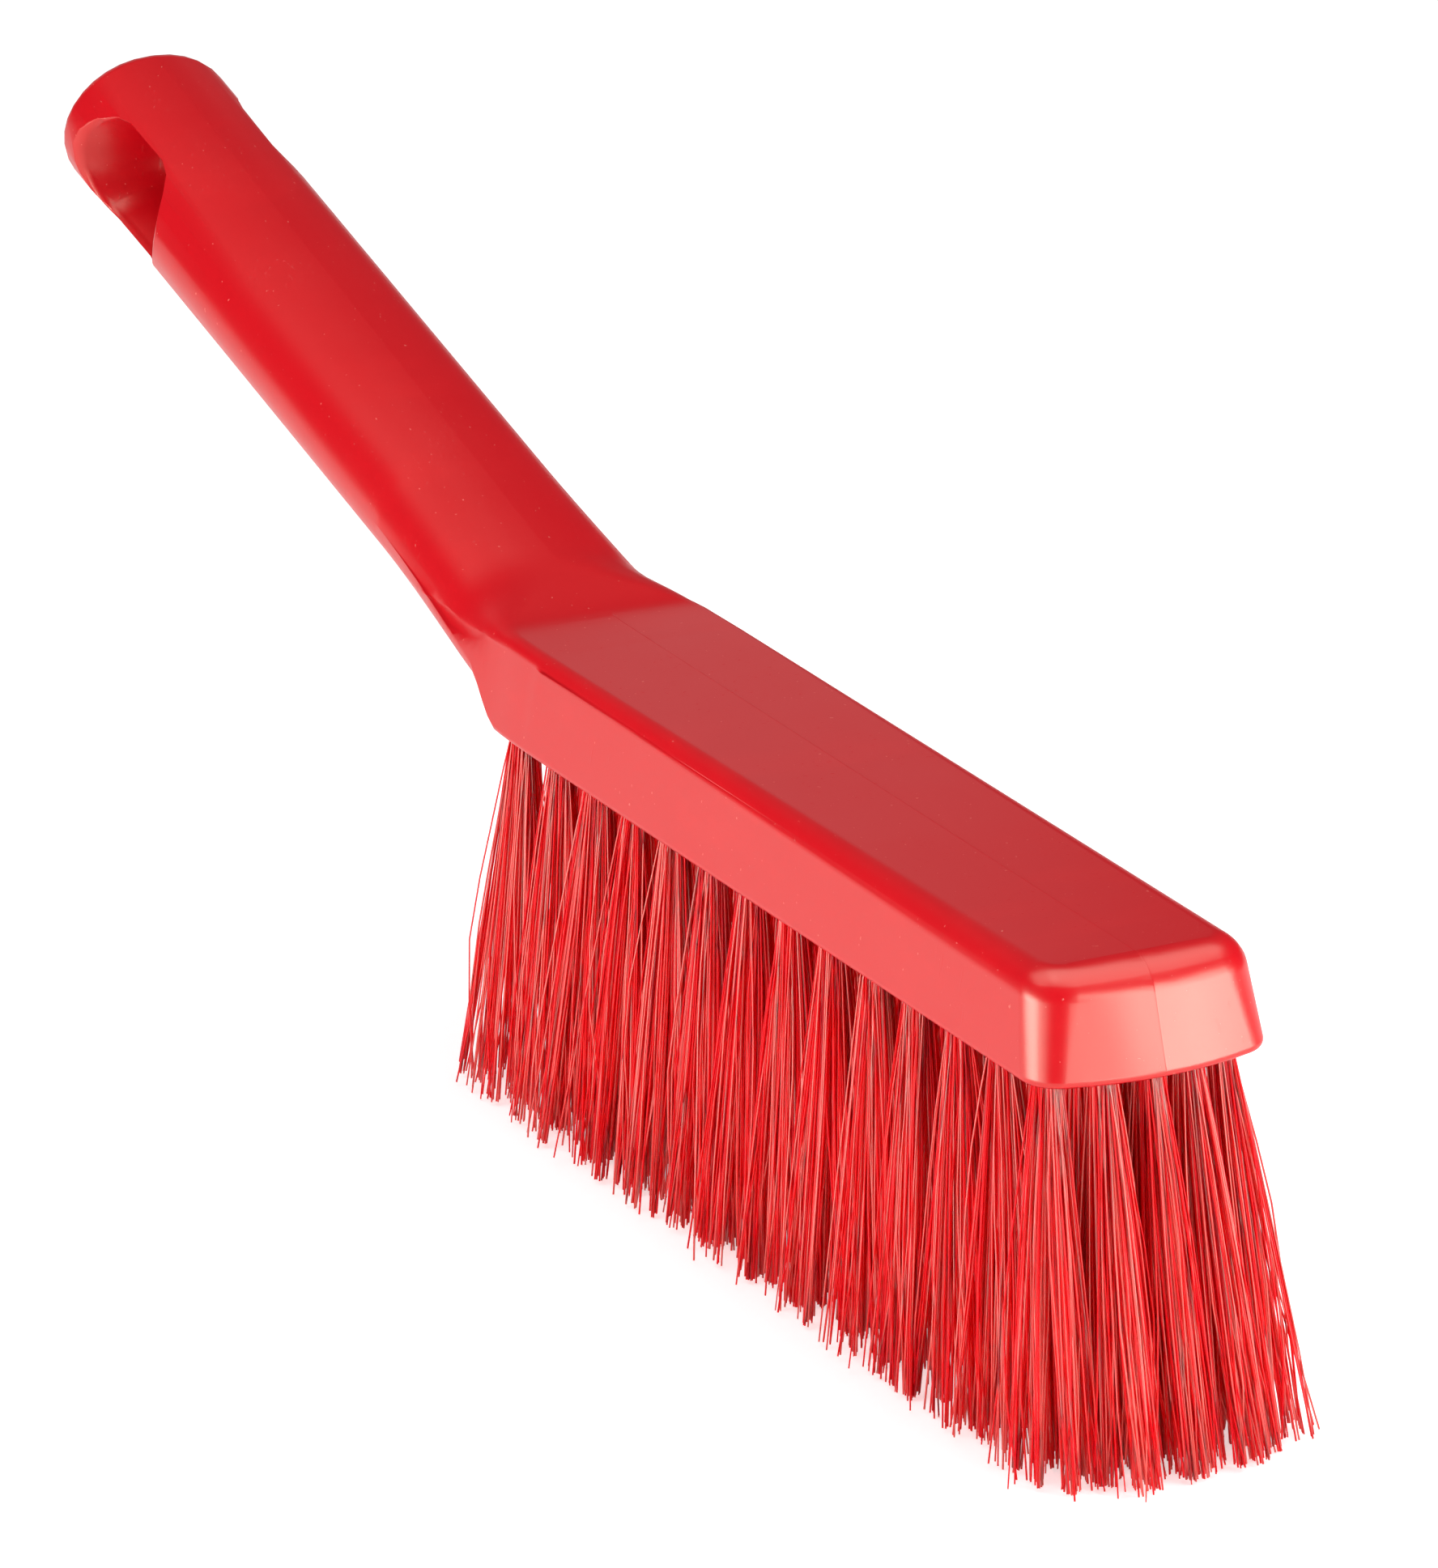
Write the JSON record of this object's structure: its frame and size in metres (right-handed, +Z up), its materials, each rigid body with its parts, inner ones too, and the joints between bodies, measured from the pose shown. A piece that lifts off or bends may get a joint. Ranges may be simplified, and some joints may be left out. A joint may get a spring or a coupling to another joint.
{
  "type": "hand brush",
  "caption": "Hand brush with a moulded block and rising oval handle in one piece, a slotted hanging hole, and tufts of straight filament fanning out to a flat trim.",
  "frame": {"origin": "middle of the footprint, on the plane of the trimmed bristle tips", "axes": "+X towards the nose of the block, +Y towards the brush's left side, +Z up out of the block's back; the handle rises towards -X"},
  "size_m": [0.3368, 0.0554, 0.1191],
  "materials": {
    "moulded_plastic": "satin injection-moulded polypropylene with faint mould marks",
    "filament": "straight polyester filament, semi-gloss, slightly translucent",
    "anchor_steel": "flat stainless wire, bright"
  },
  "bodies": {
    "root": {"brush_body": "moulded_plastic", "tuft_left_01": "filament", "tuft_left_02": "filament", "tuft_left_03": "filament", "tuft_left_04": "filament", "tuft_left_05": "filament", "tuft_left_06": "filament", "tuft_left_07": "filament", "tuft_left_08": "filament", "tuft_left_09": "filament", "tuft_left_10": "filament", "tuft_left_11": "filament", "tuft_left_12": "filament", "tuft_left_13": "filament", "tuft_left_14": "filament", "tuft_right_01": "filament", "tuft_right_02": "filament", "tuft_right_03": "filament", "tuft_right_04": "filament", "tuft_right_05": "filament", "tuft_right_06": "filament", "tuft_right_07": "filament", "tuft_right_08": "filament", "tuft_right_09": "filament", "tuft_right_10": "filament", "tuft_right_11": "filament", "tuft_right_12": "filament", "tuft_right_13": "filament", "tuft_right_14": "filament", "tuft_inner_left_01": "filament", "tuft_inner_left_02": "filament", "tuft_inner_left_03": "filament", "tuft_inner_left_04": "filament", "tuft_inner_left_05": "filament", "tuft_inner_left_06": "filament", "tuft_inner_left_07": "filament", "tuft_inner_left_08": "filament", "tuft_inner_left_09": "filament", "tuft_inner_left_10": "filament", "tuft_inner_left_11": "filament", "tuft_inner_left_12": "filament", "tuft_inner_left_13": "filament", "tuft_inner_right_01": "filament", "tuft_inner_right_02": "filament", "tuft_inner_right_03": "filament", "tuft_inner_right_04": "filament", "tuft_inner_right_05": "filament", "tuft_inner_right_06": "filament", "tuft_inner_right_07": "filament", "tuft_inner_right_08": "filament", "tuft_inner_right_09": "filament", "tuft_inner_right_10": "filament", "tuft_inner_right_11": "filament", "tuft_inner_right_12": "filament", "tuft_inner_right_13": "filament", "tuft_nose_1": "filament", "tuft_nose_2": "filament", "tuft_nose_3": "filament", "tuft_heel": "filament"}
  },
  "joints": []
}
